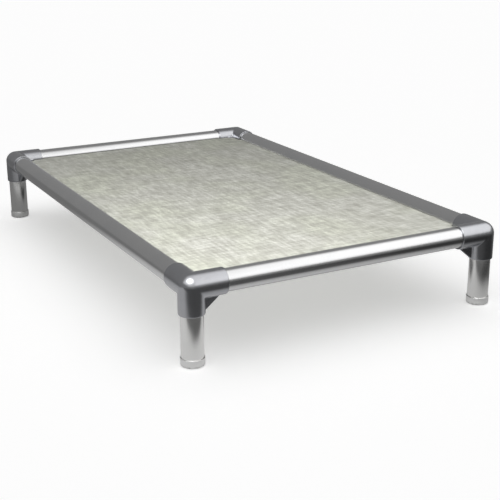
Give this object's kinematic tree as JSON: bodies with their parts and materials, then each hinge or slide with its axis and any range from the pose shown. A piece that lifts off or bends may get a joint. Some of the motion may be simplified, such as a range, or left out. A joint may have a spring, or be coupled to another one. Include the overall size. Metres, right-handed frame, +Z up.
{
  "type": "raised dog bed with frame",
  "caption": "Low raised pet bed: a woven panel is held taut in slotted tube rails, which plug into cast three-way corners on short tube legs with foot caps.",
  "frame": {"origin": "on the floor, under the middle of the bed", "axes": "+X along the length, +Y across to the back long side, +Z up"},
  "size_m": [1.006, 0.622, 0.1555],
  "materials": {
    "polished_tube": "polished, with fine drawing lines along the tube",
    "satin_tube": "satin",
    "cast_corner": "glossy dark grey casting",
    "woven_panel": "coarse slubbed weave, matt",
    "hem_rod": "extruded, matt",
    "foot_cap": "light grey, moulded",
    "screw": "blackened"
  },
  "bodies": {
    "root": {"front_rail": "polished_tube", "back_rail": "polished_tube", "left_rail": "polished_tube", "right_rail": "polished_tube", "fabric_panel": "woven_panel", "front_hem_rod": "hem_rod", "back_hem_rod": "hem_rod", "left_hem_rod": "hem_rod", "right_hem_rod": "hem_rod", "front_left_corner": "cast_corner", "front_left_leg": "satin_tube", "front_left_foot_cap": "foot_cap", "front_left_screw_front_rail": "screw", "front_left_screw_left_rail": "screw", "front_left_screw_leg": "screw", "front_right_corner": "cast_corner", "front_right_leg": "satin_tube", "front_right_foot_cap": "foot_cap", "front_right_screw_right_rail": "screw", "front_right_screw_front_rail": "screw", "front_right_screw_leg": "screw", "back_right_corner": "cast_corner", "back_right_leg": "satin_tube", "back_right_foot_cap": "foot_cap", "back_right_screw_back_rail": "screw", "back_right_screw_right_rail": "screw", "back_right_screw_leg": "screw", "back_left_corner": "cast_corner", "back_left_leg": "satin_tube", "back_left_foot_cap": "foot_cap", "back_left_screw_left_rail": "screw", "back_left_screw_back_rail": "screw", "back_left_screw_leg": "screw"}
  },
  "joints": []
}
